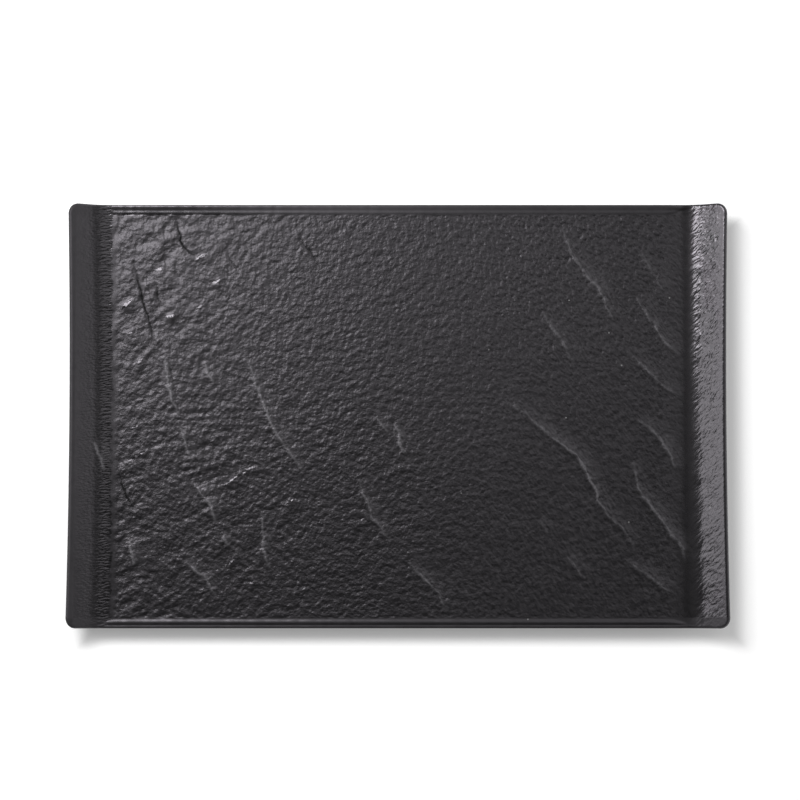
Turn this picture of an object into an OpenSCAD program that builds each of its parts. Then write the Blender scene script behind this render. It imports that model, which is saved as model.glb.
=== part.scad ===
// Rectangular serving plate of black glazed ceramic with a slate-like face.
// The floor is level, a low lip runs along both long edges, and both short ends bend up into rims.
// The fired body stands on a bare foot ring. The glaze is three skins: one over the serving face
// and the edges, one under the plate outside the foot, and one inside the foot.
// The origin is on the table under the plate's middle, +X runs along the plate and +Z is up.

/* [Plate] */
// Overall length, over the two raised rims
plate_length = 280; // [240:1:340]
// Overall depth, across the two long edges
plate_depth = 180.5; // [150:0.5:230]
// Corner radius, seen from above
corner_radius = 4.5; // [3.5:0.5:8]
// How far each rim bows in at the middle of its width
end_bow = 1; // [0:0.1:2]

/* [Floor and edges] */
// Thickness of the floor, glaze included
floor_thickness = 6; // [5:0.1:8]
// Radius that rounds the upper edges; a rim is twice this thick
edge_radius = 1.4; // [1.1:0.1:1.8]
// Width of the rounding under the edges
under_round = 2.6; // [2:0.1:4]
// Height of the lip along the long edges, above the floor
lip_height = 0.5; // [0.3:0.1:1.5]
// Width of the lip, its inner slope included
lip_width = 4; // [3.2:0.1:5]
// Width of the lip's inner slope
lip_slope = 1.2; // [0.5:0.1:1.2]

/* [Raised ends] */
// Height of the rims above the table
rim_height = 15.5; // [14:0.5:22]
// Slope of the end walls, in degrees from level
wall_slope = 32; // [25:1:45]
// Inside radius of the bend between floor and end wall
bend_radius = 20; // [10:0.5:24]

/* [Foot] */
// Height of the bare foot below the glazed underside
foot_height = 2; // [1:0.1:3]
// Width of the foot ring
foot_width = 4; // [3:0.5:6]
// Distance from the start of each bend in to the foot
foot_end_inset = 12; // [6:0.5:30]
// Distance from each long edge in to the foot
foot_side_inset = 22; // [12:0.5:30]
// Outer corner radius of the foot ring
foot_corner = 10; // [8:0.5:16]

/* [Glaze] */
// Thickness of the glaze
glaze_thickness = 0.5; // [0.3:0.05:0.7]

/* [Hidden] */

// Counts of flat facets: around a quarter turn, across an edge rounding, up a raised end
// and along half a rim
corner_steps = 4;
edge_steps = 4;
end_steps = 8;
rim_steps = 4;
// Least corner radius of an inner ring, and the width beside a long edge that the rings share
inner_corner = 1.5;
side_band = 5;

half_depth = plate_depth / 2;
floor_z = foot_height + floor_thickness;
wall_sin = sin(wall_slope);
wall_cos = cos(wall_slope);
bend_length = bend_radius * wall_slope * PI / 180;
bend_rise = bend_radius * (1 - wall_cos);
// Length of a straight end wall, from the height of its rounded rim
wall_rise = rim_height - floor_z - bend_rise - edge_radius * (1 - wall_cos);
wall_length = edge_radius + wall_rise / wall_sin;
// Reach of the rim's rounding past the end of the wall's face
rim_reach = edge_radius * wall_sin
    + norm([under_round * wall_cos, edge_radius * wall_sin]) - under_round * wall_cos;
// Half length of the level floor, and half length of the face measured along its slope
flat_half = plate_length / 2 - rim_reach - wall_length * wall_cos - bend_radius * wall_sin;
path_half = flat_half + bend_length + wall_length;
// Distance along the face from a rim to the level floor
end_reach = bend_length + wall_length;
foot_half_x = flat_half - foot_end_inset;
foot_half_y = half_depth - foot_side_inset;
underside_z = foot_height + glaze_thickness;

// Marks along a long side from end to end, as shares of its half, close together at the raised ends
side_reach = path_half - corner_radius;
end_marks = [for (k = [0:end_steps]) 1 - (1 - flat_half / side_reach) * k / end_steps];
side_marks = concat(end_marks, [0], -reversed(end_marks));

// Rounded rectangle as one ring of points, anticlockwise from above
function rounded_ring(half_x, half_y, radius) =
    let (
        inner_x = half_x - radius,
        inner_y = half_y - radius,
        rim_marks = [for (k = [-rim_steps:rim_steps]) k / rim_steps]
    )
    concat(
        [for (mark = rim_marks) [half_x, inner_y * mark]],
        corner_points([inner_x, inner_y], radius, 0),
        [for (mark = side_marks) [inner_x * mark, half_y]],
        corner_points([-inner_x, inner_y], radius, 90),
        [for (mark = rim_marks) [-half_x, -inner_y * mark]],
        corner_points([-inner_x, -inner_y], radius, 180),
        [for (mark = side_marks) [-inner_x * mark, -half_y]],
        corner_points([inner_x, -inner_y], radius, 270)
    );

// Points inside a quarter turn, without its two ends
function corner_points(centre, radius, start) = [
    for (k = [1:corner_steps - 1])
        let (turn = start + 90 * k / corner_steps)
        centre + radius * [cos(turn), sin(turn)]
];

// Outline of the unrolled face, drawn in from its rims and from its long edges
function outline(inset, side_inset) =
    rounded_ring(
        path_half - inset,
        half_depth - side_inset,
        max(corner_radius - side_inset, inner_corner)
    );

// Slope of the face at a distance along it from the middle, and the same as a share of the wall's
function lean(s) = min(max((abs(s) - flat_half) / bend_radius * 180 / PI, 0), wall_slope);
function lean_share(s) = lean(s) / wall_slope;

// Thickness of the plate, which tapers from the floor to the rims
function thickness(s) =
    floor_thickness
    + (2 * edge_radius - floor_thickness) * max(abs(s) - flat_half, 0) / end_reach;

// Height of the lip, which fades out through the bends
function lip_lift(s, inset) =
    lip_height * (1 - lean_share(s)) * min(max((lip_width - inset) / lip_slope, 0), 1);

// Depth of the edge's widest line below the floor's level
function edge_depth(s) = edge_radius - lip_lift(s, 0);

// Point at a depth below the unrolled face, folded up into the plate's shape
function folded(s, y, depth) =
    let (
        turn = lean(s),
        up_wall = max(abs(s) - flat_half - bend_length, 0),
        bow = end_bow * max(1 - pow(y / (half_depth - corner_radius), 2), 0) * lean_share(s),
        x = min(abs(s), flat_half) + (bend_radius + depth) * sin(turn) + up_wall * wall_cos - bow,
        z = floor_z + bend_radius - (bend_radius + depth) * cos(turn) + up_wall * wall_sin
    )
    [sign(s) * x, y, z];

// Insets of the rings between the edge and the level floor, from the rims and from the long edges
function inner_insets(start) = [
    for (k = [1:end_steps])
        let (share = k / end_steps)
        [start + (end_reach - start) * share, start + side_band * share]
];

// Rings of the upper side, from the floor out to the edge, at a skin's depth below the finish
function upper_rings(skin) =
    let (
        rounding = [for (k = [0:edge_steps])
            let (
                turn = 90 * k / edge_steps,
                inset = edge_radius - (edge_radius - skin) * cos(turn),
                depth = edge_radius - (edge_radius - skin) * sin(turn)
            )
            [inset, inset, depth]],
        lip = [for (inset = [lip_width - lip_slope, lip_width - lip_slope / 2, lip_width])
            [inset, inset, skin]],
        inside = [for (insets = inner_insets(lip_width)) [insets[0], insets[1], skin]]
    )
    [for (step = reversed(concat(rounding, lip, inside)))
        [for (p = outline(step[0], step[1]))
            folded(p[0], p[1], step[2] - lip_lift(p[0], step[1]))]];

// Rings of the underside, from the edge in to the level part, at a skin's depth above the finish
function under_rings(skin) = concat(
    [for (k = [0:edge_steps])
        let (
            turn = 90 * k / edge_steps,
            inset = under_round - (under_round - skin) * cos(turn)
        )
        [for (p = outline(inset, inset))
            let (edge = edge_depth(p[0]))
            folded(p[0], p[1], edge + (thickness(p[0]) - skin - edge) * sin(turn))]],
    [for (insets = inner_insets(under_round))
        [for (p = outline(insets[0], insets[1]))
            folded(p[0], p[1], thickness(p[0]) - skin)]]
);

// Outline of the foot ring, drawn in from its outer face
function foot_outline(inset) =
    rounded_ring(foot_half_x - inset, foot_half_y - inset, foot_corner - inset);

function raised(points, z) = [for (p = points) [p[0], p[1], z]];
function reversed(list) = [for (k = [len(list) - 1:-1:0]) list[k]];
function middle_of(ring) = [0, 0, ring[0][2]];

// Triangles of the band between two rings, split from the inner ring's point to the outer's next
function band(from, to, count, outwards) = [
    for (i = [0:count - 1])
        let (
            j = (i + 1) % count,
            a = from + i,
            b = from + j,
            c = to + j,
            d = to + i
        )
        each outwards ? [[a, b, c], [a, c, d]] : [[a, b, d], [b, c, d]]
];

// Solid between rings that run outwards and then back inwards, with a level face at each end
module capped_loft(outward, inward) {
    rings = concat(outward, inward);
    count = len(rings[0]);
    last = (len(rings) - 1) * count;
    first_middle = last + count;
    last_middle = first_middle + 1;
    points = concat(
        [for (ring = rings) each ring],
        [middle_of(rings[0]), middle_of(rings[len(rings) - 1])]
    );
    sides = [for (k = [0:len(rings) - 2])
        each band(k * count, (k + 1) * count, count, k < len(outward))];
    first_cap = [for (i = [0:count - 1]) [first_middle, (i + 1) % count, i]];
    last_cap = [for (i = [0:count - 1]) [last_middle, last + i, last + (i + 1) % count]];
    polyhedron(points, concat(sides, first_cap, last_cap));
}

// Ring-shaped solid between rings that run outwards and then back inwards
module ring_loft(outward, inward) {
    rings = concat(outward, inward);
    count = len(rings[0]);
    sides = [for (k = [0:len(rings) - 1])
        each band(k * count, (k + 1) % len(rings) * count, count, k < len(outward))];
    polyhedron([for (ring = rings) each ring], sides);
}

// Fired clay body with its foot ring, which roots half way up into the floor
module ceramic_body() {
    color("#3a3634") {
        capped_loft(upper_rings(glaze_thickness), under_rings(glaze_thickness));
        linear_extrude(foot_height + floor_thickness / 2)
            difference() {
                polygon(foot_outline(0));
                polygon(foot_outline(foot_width));
            }
    }
}

// Glaze over the serving face, lips and rims, down to the widest line of the edge
module serving_face_glaze() {
    color("#1f1f21")
        capped_loft(upper_rings(0), reversed(upper_rings(glaze_thickness)));
}

// Glaze under the plate, from the widest line of the edge in to the foot
module underside_border_glaze() {
    foot = foot_outline(0);
    color("#1c1c1e")
        ring_loft(
            concat([raised(foot, underside_z)], reversed(under_rings(glaze_thickness))),
            concat(under_rings(0), [raised(foot, foot_height)])
        );
}

// Glaze under the floor, inside the foot
module underside_panel_glaze() {
    color("#1c1c1e")
        translate([0, 0, foot_height])
            linear_extrude(glaze_thickness)
                polygon(foot_outline(foot_width));
}

ceramic_body();
serving_face_glaze();
underside_border_glaze();
underside_panel_glaze();
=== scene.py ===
"""Rectangular serving plate with a slate-like black glaze: its pieces, their finishes and the studio."""
import logging
import math
from dataclasses import dataclass
from enum import Enum, IntEnum
from typing import Any, Sequence

import bpy
import numpy as np
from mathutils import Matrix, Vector
from numpy.typing import NDArray


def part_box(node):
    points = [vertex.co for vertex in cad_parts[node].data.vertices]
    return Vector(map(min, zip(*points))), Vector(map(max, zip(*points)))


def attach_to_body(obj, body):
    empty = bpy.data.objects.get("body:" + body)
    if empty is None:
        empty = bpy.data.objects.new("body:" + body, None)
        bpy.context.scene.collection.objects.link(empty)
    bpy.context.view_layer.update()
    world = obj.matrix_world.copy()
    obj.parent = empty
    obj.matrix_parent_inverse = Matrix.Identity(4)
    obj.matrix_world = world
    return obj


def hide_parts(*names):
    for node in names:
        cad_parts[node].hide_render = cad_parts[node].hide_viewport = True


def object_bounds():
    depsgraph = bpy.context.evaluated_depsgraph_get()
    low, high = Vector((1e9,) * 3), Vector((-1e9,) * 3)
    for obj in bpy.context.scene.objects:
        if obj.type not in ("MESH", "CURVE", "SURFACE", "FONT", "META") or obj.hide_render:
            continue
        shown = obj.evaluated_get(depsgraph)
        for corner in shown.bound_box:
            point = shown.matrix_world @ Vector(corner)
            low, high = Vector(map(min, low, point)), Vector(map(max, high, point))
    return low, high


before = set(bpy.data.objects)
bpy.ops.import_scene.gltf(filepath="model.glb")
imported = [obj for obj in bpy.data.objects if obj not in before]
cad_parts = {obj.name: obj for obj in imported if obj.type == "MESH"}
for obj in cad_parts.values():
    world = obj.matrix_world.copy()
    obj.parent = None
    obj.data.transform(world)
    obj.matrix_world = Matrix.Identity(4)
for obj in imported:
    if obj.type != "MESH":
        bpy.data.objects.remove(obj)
cad_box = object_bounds()

LOG = logging.getLogger("plate")
MM = 0.001
BODY = "root"

Points = NDArray[np.float64]
Pair = tuple[float, float]
Line = tuple[Pair, ...]
Colour = tuple[float, float, float]


def smooth(edge_low: float, edge_high: float, value: Points) -> Points:
    """Rises smoothly from 0 at the first edge to 1 at the second."""
    share = np.clip((value - edge_low) / (edge_high - edge_low), 0.0, 1.0)
    return share * share * (3.0 - 2.0 * share)


def quarter_turn(steps: int) -> Points:
    """Angles from 0 to a quarter turn, in equal steps."""
    return np.linspace(0.0, math.pi / 2.0, steps + 1)


class Ending(Enum):
    """How the first and last rings of a lofted piece are closed."""

    CAPPED = "capped"
    JOINED = "joined"


class Bench:
    """The modelling moves that every piece shares."""

    MERGE_DISTANCE = 0.001 * MM

    @staticmethod
    def clear_selection() -> None:
        """Leaves edit mode and deselects everything."""
        if bpy.context.object and bpy.context.object.mode != "OBJECT":
            bpy.ops.object.mode_set(mode="OBJECT")
        bpy.ops.object.select_all(action="DESELECT")

    @staticmethod
    def coordinates(piece: bpy.types.Object) -> NDArray[np.float32]:
        """Reads a piece's points.

        Args:
            piece: The mesh object.

        Returns:
            One row of three coordinates for each vertex, in metres.
        """
        flat = np.empty(len(piece.data.vertices) * 3, dtype=np.float32)
        piece.data.vertices.foreach_get("co", flat)
        return flat.reshape(-1, 3)

    @staticmethod
    def move_points(piece: bpy.types.Object, points: Points) -> None:
        """Puts every vertex of a piece at its new place."""
        piece.data.vertices.foreach_set("co", np.asarray(points, dtype=np.float32).ravel())
        piece.data.update()

    @staticmethod
    def name_new(name: str) -> bpy.types.Object:
        """Names the piece that was just added, and its mesh, and returns it."""
        bpy.context.object.name = bpy.context.object.data.name = name
        return bpy.context.object

    @staticmethod
    def select_ring(piece: bpy.types.Object, ring: Sequence[int]) -> None:
        """Selects a ring of edges and goes into edit mode.

        Args:
            piece: The mesh object, in object mode.
            ring: The ring's vertices.
        """
        wanted = np.zeros(len(piece.data.vertices), dtype=bool)
        wanted[list(ring)] = True
        bpy.ops.object.mode_set(mode="EDIT")
        bpy.ops.mesh.select_mode(type="VERT")
        bpy.ops.mesh.select_all(action="DESELECT")
        bpy.ops.object.mode_set(mode="OBJECT")
        edge_ends = np.empty(len(piece.data.edges) * 2, dtype=np.int32)
        piece.data.edges.foreach_get("vertices", edge_ends)
        piece.data.vertices.foreach_set("select", wanted)
        piece.data.edges.foreach_set("select", wanted[edge_ends.reshape(-1, 2)].all(axis=1))
        bpy.ops.object.mode_set(mode="EDIT")

    @staticmethod
    def pull_ring(piece: bpy.types.Object, ring_from: Sequence[int], ring_to: Points) -> list[int]:
        """Extrudes a ring of edges and puts the new ring where it belongs.

        Args:
            piece: The mesh object, in object mode.
            ring_from: The vertices of the ring that is extruded, in order.
            ring_to: The places of the new ring's vertices, in the same order.

        Returns:
            The new ring's vertices, in the same order.
        """
        old_points = Bench.coordinates(piece)
        Bench.select_ring(piece, ring_from)
        bpy.ops.mesh.select_mode(type="EDGE")
        bpy.ops.mesh.extrude_edges_move()
        bpy.ops.object.mode_set(mode="OBJECT")
        points = Bench.coordinates(piece)
        source = {tuple(old_points[index]): place for place, index in enumerate(ring_from)}
        ring_new = [0] * len(ring_from)
        for index in range(len(old_points), len(points)):
            ring_new[source[tuple(points[index])]] = index
        points[ring_new] = ring_to
        Bench.move_points(piece, points)
        return ring_new

    @staticmethod
    def cap_ring(piece: bpy.types.Object, ring: Sequence[int]) -> None:
        """Closes a ring of edges with one level face.

        Args:
            piece: The mesh object, in object mode.
            ring: The ring's vertices.
        """
        Bench.select_ring(piece, ring)
        bpy.ops.mesh.edge_face_add()
        bpy.ops.object.mode_set(mode="OBJECT")

    @staticmethod
    def finish_skin(piece: bpy.types.Object, sharp_angle: float) -> None:
        """Turns the faces outwards and smooths the shading.

        Args:
            piece: The mesh object.
            sharp_angle: The angle in degrees above which an edge stays sharp.
        """
        bpy.ops.object.mode_set(mode="EDIT")
        bpy.ops.mesh.select_all(action="SELECT")
        bpy.ops.mesh.normals_make_consistent(inside=False)
        bpy.ops.object.mode_set(mode="OBJECT")
        bpy.ops.object.shade_smooth_by_angle(angle=math.radians(sharp_angle))

    @staticmethod
    def loft(name: str, rings: Sequence[Points], ending: Ending, sharp_angle: float) -> bpy.types.Object:
        """Models a closed piece by extruding a ring of edges from place to place.

        Args:
            name: The piece's name.
            rings: The places of each ring's points, all in the same order and number.
            ending: How the first and last rings are closed.
            sharp_angle: The angle in degrees above which an edge stays sharp.

        Returns:
            The finished mesh object.
        """
        count = len(rings[0])
        Bench.clear_selection()
        bpy.ops.mesh.primitive_circle_add(vertices=count, radius=1.0, fill_type="NOTHING")
        piece = Bench.name_new(name)
        Bench.move_points(piece, rings[0])
        first = ring = list(range(count))
        for places in rings[1:]:
            ring = Bench.pull_ring(piece, ring, places)
        if ending is Ending.CAPPED:
            Bench.cap_ring(piece, first)
            Bench.cap_ring(piece, ring)
        else:
            Bench.pull_ring(piece, ring, rings[0])
            bpy.ops.object.mode_set(mode="EDIT")
            bpy.ops.mesh.select_all(action="SELECT")
            bpy.ops.mesh.remove_doubles(threshold=Bench.MERGE_DISTANCE)
            bpy.ops.object.mode_set(mode="OBJECT")
        Bench.finish_skin(piece, sharp_angle)
        return piece


def attach(piece: bpy.types.Object, material: bpy.types.Material, node: str) -> None:
    """Dresses a piece and puts it in its node's place.

    Args:
        piece: The modelled piece.
        material: Its finish.
        node: The solid that it stands for.
    """
    piece.data.materials.clear()
    piece.data.materials.append(material)
    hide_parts(node)
    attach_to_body(piece, BODY)
    LOG.info("%s stands for %s with %d faces", piece.name, node, len(piece.data.polygons))


@dataclass(frozen=True)
class PlateShape:
    """Sizes of the plate in metres, and the fold that turns its flat face into the plate.

    A point is given by s, its distance from the middle measured along the serving face, by y across
    the plate, and by its depth under the finished face. A pair holds a size of the near lip and of
    the far lip, or, for the lips' ends and tapers, of their left and right ends.
    """

    length: float
    depth: float
    foot_height: float
    rim_height: float = 15.5 * MM
    floor_z: float = 8.0 * MM
    wall_slope: float = math.radians(32.0)
    bend_radius: float = 20.0 * MM
    edge_radius: float = 1.4 * MM
    under_round: float = 2.6 * MM
    corner_radius: float = 4.5 * MM
    inner_corner: float = 1.5 * MM
    end_bow: float = 1.0 * MM
    lip_heights: Pair = (0.31 * MM, 0.12 * MM)
    lip_falls: Pair = (0.0, 0.03)
    lip_crests: Pair = (2.6 * MM, 3.3 * MM)
    lip_feet: Pair = (4.2 * MM, 4.5 * MM)
    least_slope: float = 0.05 * MM
    groove_insets: Pair = (1.45 * MM, 2.4 * MM)
    groove_depths: Pair = (0.15 * MM, 0.06 * MM)
    groove_widths: Pair = (0.42 * MM, 0.70 * MM)
    lip_ends: Pair = (-130.0 * MM, 131.5 * MM)
    lip_tapers: Pair = (10.0 * MM, 18.0 * MM)
    glaze: float = 0.5 * MM
    foot_width: float = 4.0 * MM
    foot_corner: float = 10.0 * MM

    @property
    def lip_foot(self) -> float:
        """Distance from a long edge in to the foot of the wider lip."""
        return max(self.lip_feet)

    @property
    def half_depth(self) -> float:
        """Half the plate's depth."""
        return self.depth / 2.0

    @property
    def bend_length(self) -> float:
        """Length of a bend, measured along the face."""
        return self.bend_radius * self.wall_slope

    @property
    def wall_length(self) -> float:
        """Length of a straight end wall, measured along the face."""
        tilt = 1.0 - math.cos(self.wall_slope)
        rise = self.rim_height - self.floor_z - (self.bend_radius + self.edge_radius) * tilt
        return self.edge_radius + rise / math.sin(self.wall_slope)

    @property
    def flat_half(self) -> float:
        """Half the length of the level floor."""
        along = self.under_round * math.cos(self.wall_slope)
        across = self.edge_radius * math.sin(self.wall_slope)
        rim_reach = across + math.hypot(along, across) - along
        wall_run = self.wall_length * math.cos(self.wall_slope)
        return self.length / 2.0 - rim_reach - wall_run - self.bend_radius * math.sin(self.wall_slope)

    @property
    def end_reach(self) -> float:
        """Distance along the face from a rim to the level floor."""
        return self.bend_length + self.wall_length

    @property
    def path_half(self) -> float:
        """Half the length of the face, measured along it."""
        return self.flat_half + self.end_reach

    @property
    def floor_thickness(self) -> float:
        """Thickness of the floor, glaze included."""
        return self.floor_z - self.foot_height

    def lean(self, s: Points) -> Points:
        """Slope of the face at s, as a share of the end wall's."""
        return np.clip((np.abs(s) - self.flat_half) / self.bend_length, 0.0, 1.0)

    def thickness(self, s: Points) -> Points:
        """Thickness of the plate at s, which tapers from the floor to the rims."""
        share = np.clip((np.abs(s) - self.flat_half) / self.end_reach, 0.0, 1.0)
        return self.floor_thickness + (2.0 * self.edge_radius - self.floor_thickness) * share

    def lip_share(self, s: Points) -> Points:
        """Share of the lip that is left at s: 1 along the floor, 0 past the lip's ends."""
        (left, right), (left_taper, right_taper) = self.lip_ends, self.lip_tapers
        return smooth(left, left + left_taper, s) * (1.0 - smooth(right - right_taper, right, s))

    def lip_lift(self, s: Points, y: Points, inset: Points) -> Points:
        """Height of the long edges' lip, which narrows towards its ends and has a groove along it.

        Args:
            s: Distances along the face.
            y: Places across the plate, which tell the near lip from the far one.
            inset: Distances in from the edge.

        Returns:
            The lip's height at each point.
        """
        def side(pair: Pair) -> Points:
            """Takes the near lip's size on the near side and the far lip's on the far side."""
            return np.where(y < 0.0, *pair)

        share = self.lip_share(s)
        foot = side(self.lip_feet) * share
        crest = side(self.lip_crests) * share
        rise = smooth(0.0, 1.0, (foot - inset) / np.maximum(foot - crest, self.least_slope))
        top = side(self.lip_heights) + side(self.lip_falls) * np.maximum(crest - inset, 0.0)
        groove = np.exp(-(((inset - side(self.groove_insets)) / side(self.groove_widths)) ** 2))
        return (top * rise - side(self.groove_depths) * groove) * share * (1.0 - self.lean(s))

    def edge_depth(self, s: Points, y: Points) -> Points:
        """Depth of the edge's widest line below the floor."""
        return self.edge_radius - self.lip_lift(s, y, np.zeros_like(s))

    def fold(self, s: Points, y: Points, depth: Points) -> Points:
        """Folds points of the flat face up into the plate.

        Args:
            s: Distances along the face.
            y: Places across the plate.
            depth: Depths under the finished face.

        Returns:
            One row of three coordinates for each point.
        """
        lean = self.lean(s)
        turn = lean * self.wall_slope
        up_wall = np.maximum(np.abs(s) - self.flat_half - self.bend_length, 0.0)
        middle = np.clip(1.0 - (y / (self.half_depth - self.corner_radius)) ** 2, 0.0, 1.0)
        reach = self.bend_radius + depth
        x = np.minimum(np.abs(s), self.flat_half) + reach * np.sin(turn)
        x = x + up_wall * math.cos(self.wall_slope) - self.end_bow * middle * lean
        z = self.floor_z + self.bend_radius - reach * np.cos(turn)
        z = z + up_wall * math.sin(self.wall_slope)
        return np.stack([np.sign(s) * x, y, z], axis=-1)

    @staticmethod
    def round_corners(
        s: Points, y: Points, half_s: float, half_y: float, radius: float
    ) -> tuple[Points, Points]:
        """Draws the points of a rectangle in, so that its corners are round.

        Args:
            s: Distances along the rectangle.
            y: Distances across the rectangle.
            half_s: Half the rectangle's length.
            half_y: Half the rectangle's width.
            radius: The corners' radius.

        Returns:
            The new distances along and across.
        """
        over_s = np.abs(s) - (half_s - radius)
        over_y = np.abs(y) - (half_y - radius)
        in_corner = (over_s > 0.0) & (over_y > 0.0)
        span = np.where(in_corner, np.hypot(over_s, over_y), 1.0)
        share = np.where(in_corner, np.maximum(over_s, over_y) / span, 1.0)
        new_s = np.where(in_corner, np.sign(s) * (half_s - radius + over_s * share), s)
        new_y = np.where(in_corner, np.sign(y) * (half_y - radius + over_y * share), y)
        return new_s, new_y


class Seed(IntEnum):
    """The numbers that the relief's noises start from."""

    SWAY_ALONG = 11
    SWAY_ACROSS = 12
    BROAD_LUMPS = 13
    PEBBLES = 14
    PATCHES = 17
    FLOOR_START = 21
    WRINKLES = 22
    SWELLS = 23
    LIP_BEADS = 24


class SlateNoise:
    """Smooth seeded noise over a plane."""

    TABLE = 256
    GAIN = 1.6

    def __init__(self, seed: int) -> None:
        """Draws the noise's gradients.

        Args:
            seed: The number that the draws start from.
        """
        turns = np.random.default_rng(seed).uniform(0.0, 2.0 * math.pi, (self.TABLE, self.TABLE))
        self.slope_u = np.cos(turns)
        self.slope_v = np.sin(turns)

    def __call__(self, u: Points, v: Points) -> Points:
        """Reads the noise.

        Args:
            u: First coordinates, in wavelengths.
            v: Second coordinates, in wavelengths.

        Returns:
            Values of about -1 to 1.
        """
        cell_u = np.floor(u).astype(int)
        cell_v = np.floor(v).astype(int)
        part_u = u - cell_u
        part_v = v - cell_v

        def corner(step_u: int, step_v: int) -> Points:
            """Height that one corner of the cell gives."""
            spot = (cell_u + step_u) % self.TABLE, (cell_v + step_v) % self.TABLE
            return self.slope_u[spot] * (part_u - step_u) + self.slope_v[spot] * (part_v - step_v)

        ease_u, ease_v = (part**3 * (part * (part * 6.0 - 15.0) + 10.0) for part in (part_u, part_v))
        low = corner(0, 0) + ease_u * (corner(1, 0) - corner(0, 0))
        high = corner(0, 1) + ease_u * (corner(1, 1) - corner(0, 1))
        return self.GAIN * (low + ease_v * (high - low))


class CreaseKind(Enum):
    """Kinds of crease: widths of the steep and gentle sides and height at full strength, in millimetres."""

    CRACK = (0.5, 0.55, 0.32)
    RIDGE = (0.9, 2.4, 0.22)
    VEIN = (0.8, 1.8, 0.22)

    @property
    def attributes(self) -> tuple[str, str]:
        """Names of the attributes that keep the distance from the nearest crease and its strength."""
        return f"{self.name.lower()}_offset", f"{self.name.lower()}_strength"


@dataclass(frozen=True)
class Crease:
    """A ridge or groove of the slate, along a line of points seen from above.

    The points are in millimetres from the plate's middle. The steep side is on the left of the way
    that the points run.
    """

    END_FADE = 0.6

    kind: CreaseKind
    height: float
    points: Line

    def trace(self, x: Points, y: Points) -> tuple[Points, Points]:
        """Finds how far points are from the crease's line.

        Args:
            x: Places along the plate, in millimetres.
            y: Places across the plate, in millimetres.

        Returns:
            The distances, below 0 on the steep side, and the crease's strength, which fades to 0 at
            its ends.
        """
        corners = np.asarray(self.points, dtype=float)
        lengths = np.hypot(*np.diff(corners, axis=0).T)
        nearest = np.full(x.shape, np.inf)
        on_left = np.zeros(x.shape, dtype=bool)
        along = np.zeros_like(x)
        start = 0.0
        for (ax, ay), (bx, by), length in zip(corners[:-1], corners[1:], lengths):
            way_x, way_y = (bx - ax) / length, (by - ay) / length
            run = np.clip((x - ax) * way_x + (y - ay) * way_y, 0.0, length)
            off_x, off_y = x - ax - run * way_x, y - ay - run * way_y
            distance = np.hypot(off_x, off_y)
            closer = distance < nearest
            nearest = np.where(closer, distance, nearest)
            on_left = np.where(closer, off_y * way_x > off_x * way_y, on_left)
            along = np.where(closer, (start + run) / lengths.sum(), along)
            start += length
        strength = np.clip(np.sin(math.pi * along), 0.0, 1.0) ** self.END_FADE
        return np.where(on_left, -nearest, nearest), strength

    def lift(self, x: Points, y: Points) -> Points:
        """Height that the crease adds, in millimetres.

        Args:
            x: Places along the plate, in millimetres.
            y: Places across the plate, in millimetres.

        Returns:
            One height for each point.
        """
        offset, strength = self.trace(x, y)
        steep, gentle, _ = self.kind.value
        width = np.where(offset < 0.0, steep, gentle)
        return self.height * strength * np.exp(-0.5 * (offset / width) ** 2)


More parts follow.
